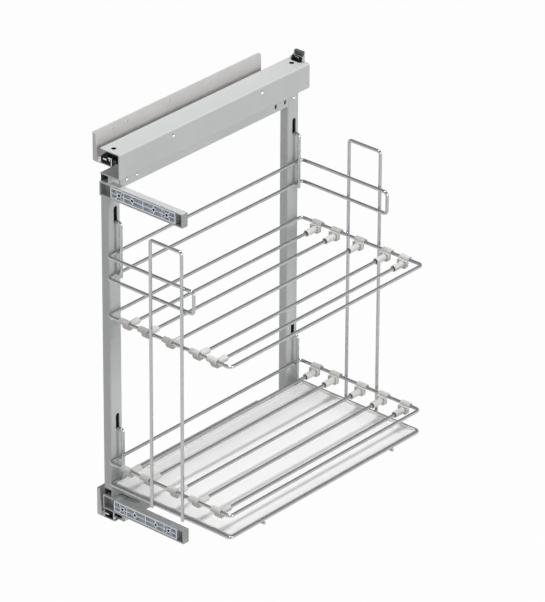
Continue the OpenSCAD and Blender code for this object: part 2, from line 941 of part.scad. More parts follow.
// The leg is a block with rounded lower corners, hollowed on the nose side.
module clip_leg() {
    inner_w = clip_w - 2 * leg_rim;
    inner_h = leg_long - leg_rim;
    difference() {
        along_y(saddle_in, saddle_in + leg_d) translate([-clip_w / 2, -leg_long]) intersection() {
            rounded_rect(clip_w, 2 * leg_long, leg_corner);
            square([clip_w, leg_long]);
        }
        along_y(saddle_in + leg_t, saddle_in + leg_d + over) translate([-inner_w / 2, -inner_h])
            rounded_rect(inner_w, 2 * inner_h, leg_corner - leg_rim);
    }
}

module clip_body() {
    along_x(-clip_w / 2, clip_w / 2) clip_section();
    clip_leg();
    translate([0, saddle_in, -rod_drop]) rotate([-90, 0, 0])
        cylinder(d = nose_d, h = nose_len - saddle_in);
    translate([0, saddle_in + leg_t, -rod_drop]) rotate([-90, 0, 0])
        cylinder(d1 = nose_d + root_more, d2 = nose_d, h = root_len);
}

module clip() {
    difference() {
        clip_body();
        translate([0, bore_start, -rod_drop]) rotate([-90, 0, 0])
            cylinder(d = rod_d + 2 * rod_fit, h = nose_len - bore_start + over);
        translate([0, nose_len - mouth_len, -rod_drop]) rotate([-90, 0, 0])
            cylinder(d = mouth_d, h = mouth_len + over);
    }
}

module clip_pair(share, z) {
    color(clip_plastic) translate([ring_x0 + ring_w * share, 0, z]) {
        translate([0, ring_y0, 0]) clip();
        translate([0, ring_y1, 0]) mirror([0, 1, 0]) clip();
    }
}

module divider_rod(share, z) {
    color(chrome) translate([ring_x0 + ring_w * share, ring_y0 + bore_start, z - rod_drop])
        rotate([-90, 0, 0]) cylinder(d = rod_d, h = ring_d - 2 * bore_start);
}

module upper_rod(i) {
    divider_rod(upper_rod_shares[i], upper_ring_z);
}

module upper_clips(i) {
    clip_pair(upper_rod_shares[i], upper_ring_z);
}

module lower_rod(i) {
    divider_rod(lower_rod_shares[i], lower_ring_z);
}

module lower_clips(i) {
    clip_pair(lower_rod_shares[i], lower_ring_z);
}

upper_profile();
lower_profile();
profile_rivets();
upper_fixed_rail();
lower_fixed_rail();
upper_middle_rail();
lower_middle_rail();
upper_moving_rail();
lower_moving_rail();
upper_outer_balls();
upper_inner_balls();
lower_outer_balls();
lower_inner_balls();
top_beam();
lower_beam();
top_rail();
bottom_rail();
front_upright();
rear_upright();
foot_plate();
upper_bracket();
lower_bracket();
frame_rivets();
beam_rivets();
upper_runner_end();
lower_runner_end();
rear_catch();
catch_bow();
upper_connector();
lower_connector();
side_rails();
upper_ring();
lower_ring();
tray_ring();
front_loop();
rear_loop();
upper_hooks();
lower_hooks();
tray_bars();
tray_panel();
upper_rod(0);  // upper_rod_1
upper_rod(1);  // upper_rod_2
upper_rod(2);  // upper_rod_3
upper_rod(3);  // upper_rod_4
upper_rod(4);  // upper_rod_5
upper_clips(0);  // upper_clips_1
upper_clips(1);  // upper_clips_2
upper_clips(2);  // upper_clips_3
upper_clips(3);  // upper_clips_4
upper_clips(4);  // upper_clips_5
lower_rod(0);  // lower_rod_1
lower_rod(1);  // lower_rod_2
lower_rod(2);  // lower_rod_3
lower_rod(3);  // lower_rod_4
lower_rod(4);  // lower_rod_5
lower_clips(0);  // lower_clips_1
lower_clips(1);  // lower_clips_2
lower_clips(2);  // lower_clips_3
lower_clips(3);  // lower_clips_4
lower_clips(4);  // lower_clips_5
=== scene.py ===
import json
import math

import bmesh
import bpy
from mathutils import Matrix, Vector, noise


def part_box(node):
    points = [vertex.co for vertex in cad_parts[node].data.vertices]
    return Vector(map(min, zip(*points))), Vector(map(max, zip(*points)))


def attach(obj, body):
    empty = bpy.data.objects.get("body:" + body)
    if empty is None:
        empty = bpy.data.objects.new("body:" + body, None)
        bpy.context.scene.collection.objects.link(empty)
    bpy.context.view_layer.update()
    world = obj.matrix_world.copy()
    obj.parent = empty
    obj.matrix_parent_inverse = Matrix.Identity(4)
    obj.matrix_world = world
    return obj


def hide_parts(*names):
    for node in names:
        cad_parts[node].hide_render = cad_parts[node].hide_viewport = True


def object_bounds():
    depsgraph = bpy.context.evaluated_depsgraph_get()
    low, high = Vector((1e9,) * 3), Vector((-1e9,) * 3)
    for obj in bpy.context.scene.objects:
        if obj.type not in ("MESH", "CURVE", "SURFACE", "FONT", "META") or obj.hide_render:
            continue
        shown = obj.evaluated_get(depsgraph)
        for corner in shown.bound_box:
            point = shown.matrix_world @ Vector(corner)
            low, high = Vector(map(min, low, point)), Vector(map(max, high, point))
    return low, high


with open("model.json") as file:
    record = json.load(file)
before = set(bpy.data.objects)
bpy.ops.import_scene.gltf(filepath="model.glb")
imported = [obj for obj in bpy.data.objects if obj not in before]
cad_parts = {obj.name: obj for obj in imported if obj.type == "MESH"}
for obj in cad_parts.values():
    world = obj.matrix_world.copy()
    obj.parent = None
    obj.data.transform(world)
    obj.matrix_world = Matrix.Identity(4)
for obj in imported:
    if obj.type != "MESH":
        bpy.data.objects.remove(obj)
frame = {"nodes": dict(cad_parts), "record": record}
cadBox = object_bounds()
nodes = frame["nodes"]

mm = 0.001


# Materials

def newMaterial(name):
    material = bpy.data.materials.new(name)
    material.use_nodes = True
    tree = material.node_tree
    shader = tree.nodes["Principled BSDF"]
    place = tree.nodes.new("ShaderNodeTexCoord")
    return material, tree, shader, place.outputs["Object"]


def noiseAt(tree, place, size, detail=2.0, roughness=0.5):
    cloud = tree.nodes.new("ShaderNodeTexNoise")
    cloud.inputs["Scale"].default_value = 1 / size
    cloud.inputs["Detail"].default_value = detail
    cloud.inputs["Roughness"].default_value = roughness
    tree.links.new(place, cloud.inputs["Vector"])
    return cloud.outputs["Fac"]


def spread(tree, value, low, high, fromLow=0.3, fromHigh=0.7):
    ranged = tree.nodes.new("ShaderNodeMapRange")
    ranged.inputs["From Min"].default_value = fromLow
    ranged.inputs["From Max"].default_value = fromHigh
    ranged.inputs["To Min"].default_value = low
    ranged.inputs["To Max"].default_value = high
    tree.links.new(value, ranged.inputs["Value"])
    return ranged.outputs["Result"]


def tone(tree, value, dark, light):
    mix = tree.nodes.new("ShaderNodeMix")
    mix.data_type = "RGBA"
    mix.inputs["A"].default_value = (*dark, 1)
    mix.inputs["B"].default_value = (*light, 1)
    tree.links.new(value, mix.inputs["Factor"])
    return mix.outputs["Result"]


def raiseBy(tree, shader, height, depth):
    bump = tree.nodes.new("ShaderNodeBump")
    bump.inputs["Distance"].default_value = depth
    tree.links.new(height, bump.inputs["Height"])
    tree.links.new(bump.outputs["Normal"], shader.inputs["Normal"])


# Each look is two tones that a slow cloud mixes, a roughness with its give, and a fine bump
cloudSize = {"paint": 60 * mm, "plastic": 25 * mm}
roughGive = 0.05

powder = {"dark": (0.555, 0.575, 0.568), "light": (0.585, 0.605, 0.598), "roughness": 0.42,
          "grain": 0.9 * mm, "depth": 0.012 * mm}
warmPowder = {"dark": (0.68, 0.665, 0.655), "light": (0.72, 0.705, 0.695), "roughness": 0.45,
              "grain": 0.9 * mm, "depth": 0.012 * mm}
# Painted shade for the insides of the uprights, much darker than the paint outside
paintedTubeShade = {"dark": (0.12, 0.122, 0.126), "light": (0.18, 0.183, 0.188), "roughness": 0.6,
              "grain": 2 * mm, "depth": 0.02 * mm}
# Painted shade for the insides of the brackets
paintedBracketShade = {"dark": (0.33, 0.335, 0.34), "light": (0.40, 0.405, 0.41), "roughness": 0.6,
              "grain": 2 * mm, "depth": 0.02 * mm}
# The brackets' outer end faces, darker than the paint elsewhere
darkerEnd = {"dark": (0.34, 0.345, 0.345), "light": (0.39, 0.395, 0.395), "roughness": 0.5,
           "grain": 0.9 * mm, "depth": 0.012 * mm}
# Painted highlight along the brackets' front rims
rimHighlight = {"dark": (0.84, 0.84, 0.84), "light": (0.9, 0.9, 0.9), "roughness": 0.35,
          "grain": 0.9 * mm, "depth": 0.012 * mm}


def powderCoat(name, look):
    material, tree, shader, place = newMaterial(name)
    cloud = noiseAt(tree, place, cloudSize["paint"], 3)
    tree.links.new(tone(tree, spread(tree, cloud, 0, 1), look["dark"], look["light"]),
                   shader.inputs["Base Color"])
    peel = noiseAt(tree, place, look["grain"], 2)
    rough = spread(tree, peel, look["roughness"] - roughGive, look["roughness"] + roughGive)
    tree.links.new(rough, shader.inputs["Roughness"])
    raiseBy(tree, shader, peel, look["depth"])
    return material


wireLook = {"dark": (0.44, 0.445, 0.455), "light": (0.52, 0.525, 0.535), "roughness": 0.13,
            "ripple": 5 * mm, "depth": 0.008 * mm}
bearingLook = {"dark": (0.6, 0.6, 0.61), "light": (0.7, 0.7, 0.71), "roughness": 0.1,
               "ripple": 2 * mm, "depth": 0.002 * mm}
polishGive = (0.04, 0.06)


def polishedMetal(name, look):
    material, tree, shader, place = newMaterial(name)
    ripple = noiseAt(tree, place, look["ripple"], 3)
    tree.links.new(tone(tree, spread(tree, ripple, 0, 1), look["dark"], look["light"]),
                   shader.inputs["Base Color"])
    rough = spread(tree, ripple, look["roughness"] - polishGive[0],
                   look["roughness"] + polishGive[1])
    tree.links.new(rough, shader.inputs["Roughness"])
    raiseBy(tree, shader, ripple, look["depth"])
    shader.inputs["Metallic"].default_value = 1.0
    return material


zincLook = {"dark": (0.50, 0.51, 0.53), "light": (0.64, 0.65, 0.68), "roughness": 0.32,
            "spangle": 5 * mm, "depth": 0.004 * mm, "metal": 0.85}
castLook = {"dark": (0.72, 0.75, 0.80), "light": (0.86, 0.89, 0.93), "roughness": 0.45,
            "spangle": 1.2 * mm, "depth": 0.03 * mm, "metal": 0.5}
dullGive = 0.08
cellShare = 0.35


def dullMetal(name, look):
    material, tree, shader, place = newMaterial(name)
    cells = tree.nodes.new("ShaderNodeTexVoronoi")
    cells.inputs["Scale"].default_value = 1 / look["spangle"]
    tree.links.new(place, cells.inputs["Vector"])
    cloud = noiseAt(tree, place, look["spangle"] / 2, 4)
    mixed = tree.nodes.new("ShaderNodeMath")
    mixed.operation = "MULTIPLY_ADD"
    mixed.inputs[1].default_value = cellShare
    tree.links.new(cells.outputs["Distance"], mixed.inputs[0])
    tree.links.new(cloud, mixed.inputs[2])
    tree.links.new(tone(tree, spread(tree, mixed.outputs[0], 0, 1, 0.4, 0.9), look["dark"],
                        look["light"]), shader.inputs["Base Color"])
    rough = spread(tree, cloud, look["roughness"] - dullGive, look["roughness"] + dullGive)
    tree.links.new(rough, shader.inputs["Roughness"])
    raiseBy(tree, shader, cloud, look["depth"])
    shader.inputs["Metallic"].default_value = look["metal"]
    return material


clipLook = {"dark": (0.64, 0.63, 0.605), "light": (0.70, 0.69, 0.665), "roughness": 0.45,
            "grain": 0.35 * mm, "depth": 0.004 * mm, "shine": 0.4}
blackLook = {"dark": (0.004, 0.004, 0.005), "light": (0.010, 0.010, 0.012), "roughness": 0.5,
             "grain": 0.4 * mm, "depth": 0.012 * mm, "shine": 0.12}
greyLook = {"dark": (0.07, 0.073, 0.075), "light": (0.13, 0.134, 0.137), "roughness": 0.45,
            "grain": 0.4 * mm, "depth": 0.012 * mm, "shine": 0.4}
panelLook = {"dark": (0.95, 0.95, 0.945), "light": (0.97, 0.97, 0.965), "roughness": 0.3,
             "grain": 1.6 * mm, "depth": 0.003 * mm, "shine": 0.5}


def mouldedPlastic(name, look):
    material, tree, shader, place = newMaterial(name)
    cloud = noiseAt(tree, place, cloudSize["plastic"], 2)
    tree.links.new(tone(tree, spread(tree, cloud, 0, 1), look["dark"], look["light"]),
                   shader.inputs["Base Color"])
    grain = noiseAt(tree, place, look["grain"], 2)
    rough = spread(tree, grain, look["roughness"] - roughGive, look["roughness"] + roughGive)
    tree.links.new(rough, shader.inputs["Roughness"])
    raiseBy(tree, shader, grain, look["depth"])
    shader.inputs["Specular IOR Level"].default_value = look["shine"]
    return material


finishes = {
    "frame_paint": powderCoat("framePaint", powder),
    "profile_paint": powderCoat("profilePaint", warmPowder),
    "chrome_wire": polishedMetal("basketWire", wireLook),
    "spring_chrome": polishedMetal("catchSpring", wireLook),
    "bearing_steel": polishedMetal("bearingSteel", bearingLook),
    "runner_steel": dullMetal("runnerZinc", zincLook),
    "rivet_steel": polishedMetal("rivetSteel", bearingLook),
    "zinc_casting": dullMetal("connectorCasting", castLook),
    "clip_plastic": mouldedPlastic("clipPlastic", clipLook),
    "black_plastic": mouldedPlastic("blackPlastic", blackLook),
    "white_panel": mouldedPlastic("trayPlastic", panelLook),
}
# Extra colours: painted shade inside tubes, brackets and holes, a painted highlight on bracket
# rims, the darker bracket ends, and grey plastic
details = {
    "paintedTubeShade": powderCoat("paintedShadeInTubes", paintedTubeShade),
    "paintedBracketShade": powderCoat("paintedShadeInBrackets", paintedBracketShade),
    "darkerEnd": powderCoat("darkerBracketEnd", darkerEnd),
    "rimHighlight": powderCoat("paintedRimHighlight", rimHighlight),
    "holeShade": mouldedPlastic("paintedHoleShade", blackLook),
    "catchGrey": mouldedPlastic("greyPlastic", greyLook),
}

slotOf = {entry["node"]: entry["material_slot"] for entry in frame["record"]["subparts"]}
bodyOf = {node: body for body, held in frame["record"]["behaviour"]["bodies"].items()
          for node in held}
for name, node in nodes.items():
    node.data.materials.clear()
    node.data.materials.append(finishes[slotOf[name]])
print("materials:", len(finishes) + len(details))


# Wires, each swept along its bent path

wire = {"radius": 2.5 * mm, "sides": 8, "bendSteps": 12, "chamfer": 0.5 * mm, "sharp": 40,
        "tip": 10 * mm, "bends": {"ring": 6 * mm, "rails": 6 * mm, "loop": 4.5 * mm,
                                  "hook": 4 * mm}}
mergeWithin = 0.001 * mm


def addPiece(name, mesh, *made):
    piece = bpy.data.objects.new(name, mesh)
    bpy.context.scene.collection.objects.link(piece)
    mesh.materials.append(finishes[slotOf[made[0]]])
    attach(piece, bodyOf[made[0]])
    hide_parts(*made)


def bentPath(corners, bend, closed):
    path = []
    for i, corner in enumerate(corners):
        corner = Vector(corner)
        if not closed and i in (0, len(corners) - 1):
            path.append(corner)
            continue
        back = (Vector(corners[i - 1]) - corner).normalized()
        ahead = (Vector(corners[(i + 1) % len(corners)]) - corner).normalized()
        centre = corner + (back + ahead) * bend
        for step in range(wire["bendSteps"] + 1):
            turn = math.pi / 2 * step / wire["bendSteps"]
            path.append(centre - (ahead * math.cos(turn) + back * math.sin(turn)) * bend)
    return path


def wireMesh(name, runs, welds=()):
    curve = bpy.data.curves.new(name, "CURVE")
    curve.dimensions = "3D"
    curve.bevel_depth = wire["radius"]
    curve.bevel_resolution = wire["sides"]
    curve.use_fill_caps = True
    for corners, bend, closed in runs:
        path = [(point, 1) for point in bentPath(corners, bend, closed)]
        if not closed:
            for end, inner in ((0, 1), (-1, -2)):
                tip = path[end][0]
                lead = (path[inner][0] - tip).normalized() * wire["chamfer"]
                shoulder = (tip + lead, 1)
                path[end] = (tip, 1 - wire["chamfer"] / wire["radius"])
                path.insert(1 if end == 0 else len(path) - 1, shoulder)
        spline = curve.splines.new("POLY")
        spline.points.add(len(path) - 1)
        for point, (place, width) in zip(spline.points, path):
            point.co = (*place, 1)
            point.radius = width
        spline.use_cyclic_u = closed
    shape = bpy.data.objects.new(name, curve)
    mesh = bpy.data.meshes.new_from_object(shape)
    bpy.data.objects.remove(shape)
    bpy.data.curves.remove(curve)
    mesh.name = name
    body = bmesh.new()
    body.from_mesh(mesh)
    bmesh.ops.remove_doubles(body, verts=body.verts, dist=mergeWithin)
    for place, along in welds:
        addWeld(body, Vector(place), along)
    bmesh.ops.recalc_face_normals(body, faces=body.faces)
    body.to_mesh(mesh)
    body.free()
    mesh.shade_smooth()
    mesh.set_sharp_from_angle(angle=math.radians(wire["sharp"]))
    return mesh


weldLook = {"reach": 3.1 * mm, "height": 1.9 * mm, "uneven": 0.25, "lump": 1.5 * mm,
            "lumps": 1.3, "subdivisions": 3}


def addWeld(body, place, along):
    made = bmesh.ops.create_icosphere(
        body, subdivisions=weldLook["subdivisions"], radius=1)["verts"]
    for vert in made:
        spot = vert.co * weldLook["lumps"] + place / weldLook["lump"]
        lumpy = 1 + weldLook["uneven"] * noise.noise(spot)
        size = [weldLook["height"] * lumpy] * 3
        size[along] = weldLook["reach"] * lumpy
        vert.co = place + Vector([vert.co[i] * size[i] for i in range(3)])


# Lowest and highest corners of the wire's middle line
def middles(name):
    low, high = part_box(name)
    inset = Vector((wire["radius"],) * 3)
    return low + inset, high - inset


ringLow, ringHigh = middles("tray_ring")
railLow, railHigh = middles("side_rails")
ringHeights = {name: middles(name)[0][2] for name in ("upper_ring", "lower_ring", "tray_ring")}

for name in ringHeights:
    (x0, y0, z), (x1, y1, z) = middles(name)
    corners = [(x0, y0, z), (x1, y0, z), (x1, y1, z), (x0, y1, z)]
    mesh = wireMesh(name + ".wire", [(corners, wire["bends"]["ring"], True)])
    addPiece(name + ".wire", mesh, name)

(x0, y0, z0), (x1, y1, z1) = railLow, railHigh
corners = [(x0, y0, z0), (x0, y1, z0), (x1, y1, z0), (x1, y1, z1), (x0, y1, z1), (x0, y0, z1),
           (x1, y0, z1), (x1, y0, z0)]
addPiece("side_rails.wire", wireMesh("side_rails.wire", [(corners, wire["bends"]["rails"], True)]),
         "side_rails")

crossed = [railLow[2], railHigh[2], *ringHeights.values()]
for name in ("front_loop", "rear_loop"):
    (x0, y, z0), (x1, y, z1) = middles(name)
    foot = z0 - wire["radius"]
    inward = wire["radius"] if name == "front_loop" else -wire["radius"]
    corners = [(x0, y, foot), (x0, y, z1), (x1, y, z1), (x1, y, foot)]
    welds = [((x, y + inward, z), 2) for x in (x0, x1) for z in crossed]
    mesh = wireMesh(name + ".wire", [(corners, wire["bends"]["loop"], False)], welds)
    addPiece(name + ".wire", mesh, name)

for name, levels in (("upper_hooks", (railLow[2], railHigh[2])),
                     ("lower_hooks", (ringHeights["lower_ring"], ringHeights["tray_ring"]))):
    (tip, y0, z0), (leg, y1, z1) = middles(name)
    runs = []
    for y in (y0, y1):
        corners = [(leg, y, z0 - wire["radius"]), (leg, y, z1), (tip, y, z1),
                   (tip, y, z1 - wire["tip"])]
        runs.append((corners, wire["bends"]["hook"], False))
    welds = [((leg - wire["radius"], y, z), 2) for y in (y0, y1) for z in levels]
    addPiece(name + ".wire", wireMesh(name + ".wire", runs, welds), name)

low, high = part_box("tray_bars")
(x0, y0, z), (x1, y1, z) = middles("tray_bars")
runs = [([(low[0], y, z), (high[0], y, z)], 0, False) for y in (y0, y1)]
welds = [((x, y, z + wire["radius"]), 0) for x in (ringLow[0], ringHigh[0]) for y in (y0, y1)]
addPiece("tray_bars.wire", wireMesh("tray_bars.wire", runs, welds), "tray_bars")

dividers = 5
for level in ("upper", "lower"):
    for i in range(1, dividers + 1):
        name = level + "_rod_" + str(i)
        low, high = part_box(name)
        x, y, z = middles(name)[0]
        run = ([(x, low[1], z), (x, high[1], z)], 0, False)
        addPiece(name + ".wire", wireMesh(name + ".wire", [run]), name)
print("wires swept")


# Sheet and moulded pieces keep their solids, with broken edges

# Width of each broken edge, in mm
edges = {"upper_profile": 0.35, "lower_profile": 0.35, "top_beam": 0.4, "lower_beam": 0.4,
         "top_rail": 0.4, "bottom_rail": 0.4, "front_upright": 0.4, "rear_upright": 0.4,
         "foot_plate": 0.35, "upper_bracket": 0.35, "lower_bracket": 0.35,
         "upper_connector": 0.3, "lower_connector": 0.3, "tray_panel": 0.6,
         "upper_fixed_rail": 0.2, "lower_fixed_rail": 0.2, "upper_moving_rail": 0.2,
         "lower_moving_rail": 0.2, "upper_middle_rail": 0.2, "lower_middle_rail": 0.2,
         "frame_rivets": 0.15, "beam_rivets": 0.15, "profile_rivets": 0.15}
for level in ("upper", "lower"):
    for i in range(1, dividers + 1):
        edges[level + "_clips_" + str(i)] = 0.45
edgeLook = {"flat": 0.5, "sharp": 35, "segments": 3}


def breakEdges(node, width):
    weld = node.modifiers.new("weld", "WELD")
    weld.merge_threshold = mergeWithin
    clean = node.modifiers.new("clean", "DECIMATE")
    clean.decimate_type = "DISSOLVE"
    clean.angle_limit = math.radians(edgeLook["flat"])
    bevel = node.modifiers.new("bevel", "BEVEL")
    bevel.width = width * mm
    bevel.segments = edgeLook["segments"]
    bevel.limit_method = "ANGLE"
    bevel.angle_limit = math.radians(edgeLook["sharp"])
    bevel.use_clamp_overlap = True
    node.data.shade_smooth()
    smooth = node.modifiers.new("smooth", "WEIGHTED_NORMAL")
    smooth.keep_sharp = True


for name, width in edges.items():
    breakEdges(nodes[name], width)
for name, node in nodes.items():
    if "balls" in name:
        node.data.shade_smooth()


# Runner ends and catch, cut and bent to shape in place of their plain solids

def pushBack(shape, grown, depth):
    moved = [item for item in grown["geom"] if isinstance(item, bmesh.types.BMVert)]
    bmesh.ops.translate(shape, verts=moved, vec=(0, depth * mm, 0))
    return moved


def addPlate(shape, outline, near, far):
    verts = [shape.verts.new((x * mm, near * mm, z * mm)) for x, z in outline]
    face = shape.faces.new(verts)
    pushBack(shape, bmesh.ops.extrude_face_region(shape, geom=[face]), far - near)
    bmesh.ops.recalc_face_normals(shape, faces=shape.faces)


def addBlock(shape, low, high):
    (x0, y0, z0), (x1, y1, z1) = low, high
    addPlate(shape, [(x0, z0), (x1, z0), (x1, z1), (x0, z1)], y0, y1)


# Cuts the front face along the window's sides and pushes the window in
def sinkPocket(shape, front, window, depth):
    (x0, z0), (x1, z1) = window
    for axis, place in ((0, x0), (0, x1), (2, z0), (2, z1)):
        spot = Vector([place * mm if i == axis else 0 for i in range(3)])
        facing = Vector([1 if i == axis else 0 for i in range(3)])
        geom = shape.verts[:] + shape.edges[:] + shape.faces[:]
        bmesh.ops.bisect_plane(shape, geom=geom, plane_co=spot, plane_no=facing, dist=1e-7)
    chosen = []
    for face in shape.faces:
        x, y, z = face.calc_center_median() / mm
        if abs(y - front) < 0.01 and x0 < x < x1 and z0 < z < z1:
            chosen.append(face)
    pushBack(shape, bmesh.ops.extrude_face_region(shape, geom=chosen), depth)
    bmesh.ops.delete(shape, geom=chosen, context="FACES_ONLY")


def addStrip(shape, path, near, far, thick, bend):
    verts = [shape.verts.new((x * mm, near * mm, z * mm)) for x, z in path]
    line = [shape.edges.new(pair) for pair in zip(verts, verts[1:])]
    moved = pushBack(shape, bmesh.ops.extrude_edge_only(shape, edges=line), far - near)
    folds = [edge for vert in verts[1:-1] for edge in vert.link_edges
             if edge.other_vert(vert) in moved]
    bmesh.ops.bevel(shape, geom=folds, offset=bend * mm, affect="EDGES", segments=4,
                    profile=0.5, material=-1)
    bmesh.ops.recalc_face_normals(shape, faces=shape.faces)
    bmesh.ops.solidify(shape, geom=shape.faces[:], thickness=thick * mm)


def addRing(shape, centre, inner, outer, near, far):
    x, z = centre
    corners = [(inner, near), (outer, near), (outer, far), (inner, far)]
    verts = [shape.verts.new(((x + r) * mm, y * mm, z * mm)) for r, y in corners]
    rim = [shape.edges.new((verts[i - 1], verts[i])) for i in range(4)]
    bmesh.ops.spin(shape, geom=verts + rim, cent=(x * mm, 0, z * mm), axis=(0, 1, 0),
                   angle=math.tau, steps=24, use_merge=True)


# A piece takes its finish and slot from the node that it stands for, or from a slot of its own
def finishShape(name, shape, width, made=None, slot=None, finish=None):
    slot = slotOf[made] if made else slot
    bmesh.ops.recalc_face_normals(shape, faces=shape.faces)
    mesh = bpy.data.meshes.new(name)
    shape.to_mesh(mesh)
    shape.free()
    piece = bpy.data.objects.new(name, mesh)
    bpy.context.scene.collection.objects.link(piece)
    mesh.materials.append(finish or finishes[slot])
    breakEdges(piece, width)
    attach(piece, "frame")
    if made:
        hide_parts(made)


# Outlines are x and z from the corner, and depths run back from the front, all in mm
upperEnd = {"corner": (15, -33.9), "front": -138.7, "back": -131,
            "outline": [(0, 0), (20.3, 0), (33, 8.7), (33, 19.4), (11, 19.4), (0, 10.4)],
            "pockets": [(((4.3, 4.4), (11.1, 9.2)), 4.5), (((22.5, 12), (31, 17)), 4),
                        (((13.2, 13.4), (20.6, 17)), 3)],
            "tongue": [(4.6, 6.0), (10.8, 6.0), (10.8, 8.4), (4.6, 8.4)],
            "latch": [(20.6, 0.5), (20.6, 12.4), (13.6, 11.8), (13.6, 10.2), (15.8, 10.0),
                      (15.8, 7.0), (17.6, 6.6), (17.6, 10.6), (19.0, 10.8), (19.0, 0.5)],
            "eye": (26.4, 8.0), "eyeHole": 1.5, "eyeRim": 2.7, "tongueDepth": (-0.2, 4.5),
            "latchDepth": (-0.4, 0.4), "eyeDepth": (-0.4, 0.6), "edge": 0.35,
            "metalEdge": 0.12, "eyeEdge": 0.2}
left, foot = upperEnd["corner"]


def fromCorner(outline):
    return [(left + x, foot + z) for x, z in outline]


shape = bmesh.new()
addPlate(shape, fromCorner(upperEnd["outline"]), upperEnd["front"], upperEnd["back"])
for window, depth in upperEnd["pockets"]:
    sinkPocket(shape, upperEnd["front"], fromCorner(window), depth)
finishShape("upper_runner_end.body", shape, upperEnd["edge"], made="upper_runner_end")
shape = bmesh.new()
for plate in ("tongue", "latch"):
    near, far = upperEnd[plate + "Depth"]
    addPlate(shape, fromCorner(upperEnd[plate]), upperEnd["front"] + near,
             upperEnd["front"] + far)
finishShape("upper_runner_latch", shape, upperEnd["metalEdge"], slot="rivet_steel")
shape = bmesh.new()
near, far = upperEnd["eyeDepth"]
addRing(shape, fromCorner([upperEnd["eye"]])[0], upperEnd["eyeHole"], upperEnd["eyeRim"],
        upperEnd["front"] + near, upperEnd["front"] + far)
finishShape("upper_runner_eye", shape, upperEnd["eyeEdge"], slot="black_plastic",
            finish=details["catchGrey"])

lowerEnd = {"low": (15, -138.7, -596.9), "high": (31, -131, -582.5),
            "pocket": ((18, -594.6), (28.4, -589.4)), "depth": 4,
            "tongue": ((15.6, -139.0, -592.2), (22.6, -133, -590.0)),
            "side": ((31, -138.9, -596.9), (32.2, -131, -583)), "edge": 0.35, "metalEdge": 0.15}
shape = bmesh.new()
addBlock(shape, lowerEnd["low"], lowerEnd["high"])
sinkPocket(shape, lowerEnd["low"][1], lowerEnd["pocket"], lowerEnd["depth"])
finishShape("lower_runner_end.body", shape, lowerEnd["edge"], made="lower_runner_end")
shape = bmesh.new()
addBlock(shape, *lowerEnd["tongue"])
addBlock(shape, *lowerEnd["side"])
finishShape("lower_runner_plate", shape, lowerEnd["metalEdge"], slot="rivet_steel")

catch = {"low": (21.8, 250.5, -12.5), "high": (37.6, 257.5, -5.6),
         "pocket": ((24.6, -11), (34.4, -7.4)), "depth": 2.5,
         "clamp": ((22, 238, -15.4), (38, 258.5, -14.05)),
         "cap": ((25.2, 252.5, -1.6), (41.2, 257.8, 4.4)),
         "capRecess": ((28.2, -0.2), (38.2, 2.6)), "capDepth": 1.2,
         "bow": [(17.6, -8.2), (21.5, -7.0), (22.5, -2.4), (41.4, -2.4), (41.4, -12.4)],
         "bowDepth": (252.4, 257.6), "bowThick": 1.1, "bowBend": 1.2,
         "hook": [(28, -3.9), (35.8, -4.5), (35.8, -9.5)],
         "hookDepth": (250.4, 251.3), "hookThick": 0.8, "hookBend": 1.0,
         "edge": 0.5, "capEdge": 0.9, "bowEdge": 0.2, "hookEdge": 0.12}
shape = bmesh.new()
addBlock(shape, catch["low"], catch["high"])
sinkPocket(shape, catch["low"][1], catch["pocket"], catch["depth"])
addBlock(shape, *catch["clamp"])
finishShape("rear_catch.body", shape, catch["edge"], made="rear_catch")
shape = bmesh.new()
addBlock(shape, *catch["cap"])
sinkPocket(shape, catch["cap"][0][1], catch["capRecess"], catch["capDepth"])
finishShape("rear_catch.cap", shape, catch["capEdge"], slot="black_plastic",
            finish=details["catchGrey"])
shape = bmesh.new()
addStrip(shape, catch["bow"], *catch["bowDepth"], catch["bowThick"], catch["bowBend"])
finishShape("catch_bow.strip", shape, catch["bowEdge"], made="catch_bow")
shape = bmesh.new()
addStrip(shape, catch["hook"], *catch["hookDepth"], catch["hookThick"], catch["hookBend"])
finishShape("catch_hook", shape, catch["hookEdge"], slot="spring_chrome")
print("runner ends and catch shaped")


# Painted shade darkens the insides of the tubes and brackets and fills the holes, the brackets'
# front rims carry a painted highlight, and their outer ends are darker

def coatFaces(name, finish, chosen):
    node = nodes[name]
    node.data.materials.append(finish)
    for face in node.data.polygons:
        if chosen(face.center):
            face.material_index = len(node.data.materials) - 1


# Margins are how far inside the box's lowest and highest corners the coat starts
def coatWithin(name, finish, lowMargin, highMargin):
    low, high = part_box(name)
    coatFaces(name, finish, lambda centre: all(
        low[i] + lowMargin[i] < centre[i] < high[i] - highMargin[i] for i in range(3)))


def coatRound(name, finish, axes, across, radius):
    i, j = across
    coatFaces(name, finish, lambda centre: any(
        math.hypot(centre[i] - axis[0], centre[j] - axis[1]) < radius for axis in axes))


hollows = {"tubeWall": 1.5 * mm, "bracketWall": 2 * mm, "mouth": 0.2 * mm, "skin": 0.02 * mm,
           "openEnds": -1}
skin = hollows["skin"]
# Painted shade darkens every inner face of the uprights
for name in ("front_upright", "rear_upright"):
    inner = hollows["tubeWall"] - skin
    margin = (inner, inner, hollows["openEnds"])
    coatWithin(name, details["paintedTubeShade"], margin, margin)
# Painted shade inside the brackets, a darker outer end face, and a painted highlight along each
# bracket's front rim
for name in ("upper_bracket", "lower_bracket"):
    inner = hollows["bracketWall"] - skin
    coatWithin(name, details["paintedBracketShade"], (inner, hollows["mouth"], inner),
               (inner, inner, inner))
    low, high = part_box(name)
    coatFaces(name, details["darkerEnd"], lambda centre: centre[0] > high[0] - skin)
    coatFaces(name, details["rimHighlight"], lambda centre:
              centre[0] < low[0] + hollows["bracketWall"] and centre[1] < low[1] + skin)

